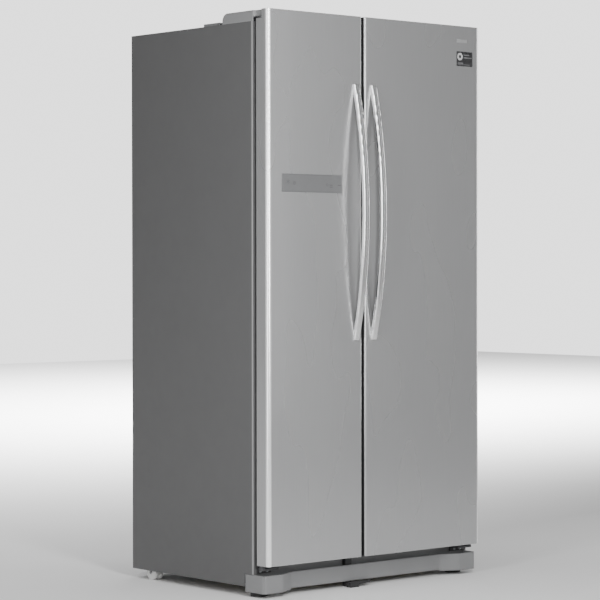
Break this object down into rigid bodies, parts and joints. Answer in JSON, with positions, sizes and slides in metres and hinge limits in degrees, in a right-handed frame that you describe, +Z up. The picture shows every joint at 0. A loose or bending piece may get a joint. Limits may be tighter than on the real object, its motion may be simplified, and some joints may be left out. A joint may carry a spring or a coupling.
{
  "type": "side by side refrigerator",
  "caption": "Tall two-door side by side refrigerator with bow handles, a door display, drawers, shelves and a rear machine space.",
  "frame": {"origin": "on the floor, under the centre of the whole appliance's box, doors closed", "axes": "+X to the viewer's right, +Y to the back, +Z up; the doors face -Y"},
  "size_m": [0.912, 0.7339, 1.789],
  "materials": {
    "door_steel": "satin brushed stainless sheet with a clear coat",
    "cabinet_paint": "grey textured enamel",
    "frame_paint": "grey enamel",
    "galvanised_steel": "zinc-coated sheet",
    "hinge_steel": "dark passivated steel",
    "handle_metal": "satin anodised",
    "grey_plastic": "fine-grained moulded plastic",
    "dark_plastic": "moulded plastic",
    "display_plastic": "satin printed panel",
    "liner_plastic": "vacuum-formed white sheet",
    "clear_plastic": "transparent moulded plastic",
    "white_plastic": "moulded white plastic",
    "trim_plastic": "satin silver plastic",
    "tempered_glass": "tempered glass with green edges",
    "foam": "cellular polyurethane",
    "gasket_rubber": "soft magnetic seal",
    "foot_rubber": "black rubber",
    "roller_plastic": "hard nylon",
    "lamp_lens": "frosted lens",
    "fin_aluminium": "bare fins and tube",
    "compressor_paint": "black baked enamel",
    "coil_paint": "black enamelled tube",
    "backing_board": "pre-coated sheet"
  },
  "bodies": {
    "cabinet": {"side_panel_left": "cabinet_paint", "side_panel_right": "cabinet_paint", "top_panel": "cabinet_paint", "back_panel": "backing_board", "insulation_panels": "foam", "freezer_liner": "liner_plastic", "fridge_liner": "liner_plastic", "front_frame": "frame_paint", "base_frame": "hinge_steel", "kick_plate": "grey_plastic", "centre_foot": "dark_plastic", "top_hinge_left": "hinge_steel", "top_hinge_right": "hinge_steel", "bottom_hinge_left": "hinge_steel", "bottom_hinge_right": "hinge_steel", "hinge_cover_left": "grey_plastic", "hinge_cover_right": "grey_plastic", "harness_cover": "dark_plastic", "freezer_duct_panel": "white_plastic", "evaporator": "fin_aluminium", "evaporator_fan_motor": "dark_plastic", "fridge_duct_panel": "white_plastic", "lamp_covers": "lamp_lens", "shelf_glass": "tempered_glass", "shelf_trims": "trim_plastic", "ice_maker_frame": "white_plastic", "compressor": "compressor_paint", "condenser_coil": "coil_paint", "condenser_fan_motor": "dark_plastic", "rear_cover": "galvanised_steel", "drain_pan": "dark_plastic", "power_inlet": "dark_plastic"},
    "levelling_foot_left": {"levelling_foot_left": "foot_rubber"},
    "levelling_foot_right": {"levelling_foot_right": "foot_rubber"},
    "rear_roller_left": {"rear_roller_left": "roller_plastic"},
    "rear_roller_right": {"rear_roller_right": "roller_plastic"},
    "evaporator_fan": {"evaporator_fan_blade": "white_plastic"},
    "condenser_fan": {"condenser_fan_blade": "dark_plastic"},
    "freezer_drawer_lower": {"freezer_drawer_lower": "clear_plastic"},
    "freezer_drawer_upper": {"freezer_drawer_upper": "clear_plastic"},
    "crisper_lower": {"fridge_crisper_lower": "clear_plastic"},
    "crisper_upper": {"fridge_crisper_upper": "clear_plastic"},
    "ice_tray": {"ice_tray": "white_plastic"},
    "ice_bin": {"ice_bin": "clear_plastic"},
    "dairy_flap": {"dairy_flap": "clear_plastic"},
    "freezer_door": {"freezer_door_skin": "door_steel", "freezer_door_caps": "grey_plastic", "freezer_door_core": "foam", "freezer_door_liner": "liner_plastic", "freezer_door_gasket": "gasket_rubber", "freezer_handle": "handle_metal", "freezer_door_bins": "clear_plastic", "control_panel": "display_plastic"},
    "fridge_door": {"fridge_door_skin": "door_steel", "fridge_door_caps": "grey_plastic", "fridge_door_core": "foam", "fridge_door_liner": "liner_plastic", "fridge_door_gasket": "gasket_rubber", "fridge_handle": "handle_metal", "fridge_door_bins": "clear_plastic"}
  },
  "joints": [
    {"name": "freezer_door_hinge", "type": "hinge", "parent": "cabinet", "child": "freezer_door", "pos_m": [-0.443, -0.272, 0.9], "axis": [0, 0, -1], "range_deg": [0, 120]},
    {"name": "fridge_door_hinge", "type": "hinge", "parent": "cabinet", "child": "fridge_door", "pos_m": [0.443, -0.272, 0.9], "axis": [0, 0, 1], "range_deg": [0, 120]},
    {"name": "freezer_drawer_lower_slide", "type": "slide", "parent": "cabinet", "child": "freezer_drawer_lower", "axis": [0, -1, 0], "range_m": [0, 0.04]},
    {"name": "freezer_drawer_upper_slide", "type": "slide", "parent": "cabinet", "child": "freezer_drawer_upper", "axis": [0, -1, 0], "range_m": [0, 0.04]},
    {"name": "crisper_lower_slide", "type": "slide", "parent": "cabinet", "child": "crisper_lower", "axis": [0, -1, 0], "range_m": [0, 0.04]},
    {"name": "crisper_upper_slide", "type": "slide", "parent": "cabinet", "child": "crisper_upper", "axis": [0, -1, 0], "range_m": [0, 0.04]},
    {"name": "ice_bin_slide", "type": "slide", "parent": "cabinet", "child": "ice_bin", "axis": [0, -1, 0], "range_m": [0, 0.04]},
    {"name": "ice_tray_twist", "type": "hinge", "parent": "cabinet", "child": "ice_tray", "pos_m": [-0.247, 0.06, 1.52], "axis": [1, 0, 0], "range_deg": [0, 150]},
    {"name": "dairy_flap_hinge", "type": "hinge", "parent": "fridge_door", "child": "dairy_flap", "pos_m": [0.19, -0.179, 1.581], "axis": [1, 0, 0], "range_deg": [0, 80]},
    {"name": "evaporator_fan_spin", "type": "hinge", "parent": "cabinet", "child": "evaporator_fan", "pos_m": [-0.246, 0.247, 0.86], "axis": [0, 1, 0], "continuous": true},
    {"name": "condenser_fan_spin", "type": "hinge", "parent": "cabinet", "child": "condenser_fan", "pos_m": [0.088, 0.262, 0.17], "axis": [1, 0, 0], "continuous": true},
    {"name": "rear_roller_left_spin", "type": "hinge", "parent": "cabinet", "child": "rear_roller_left", "pos_m": [-0.4355, 0.275, 0.024], "axis": [1, 0, 0], "continuous": true},
    {"name": "levelling_foot_left_turn", "type": "hinge", "parent": "cabinet", "child": "levelling_foot_left", "pos_m": [-0.417, -0.225, 0.01], "axis": [0, 0, 1], "continuous": true},
    {"name": "rear_roller_right_spin", "type": "hinge", "parent": "cabinet", "child": "rear_roller_right", "pos_m": [0.4355, 0.275, 0.024], "axis": [1, 0, 0], "continuous": true},
    {"name": "levelling_foot_right_turn", "type": "hinge", "parent": "cabinet", "child": "levelling_foot_right", "pos_m": [0.417, -0.225, 0.01], "axis": [0, 0, 1], "continuous": true}
  ]
}
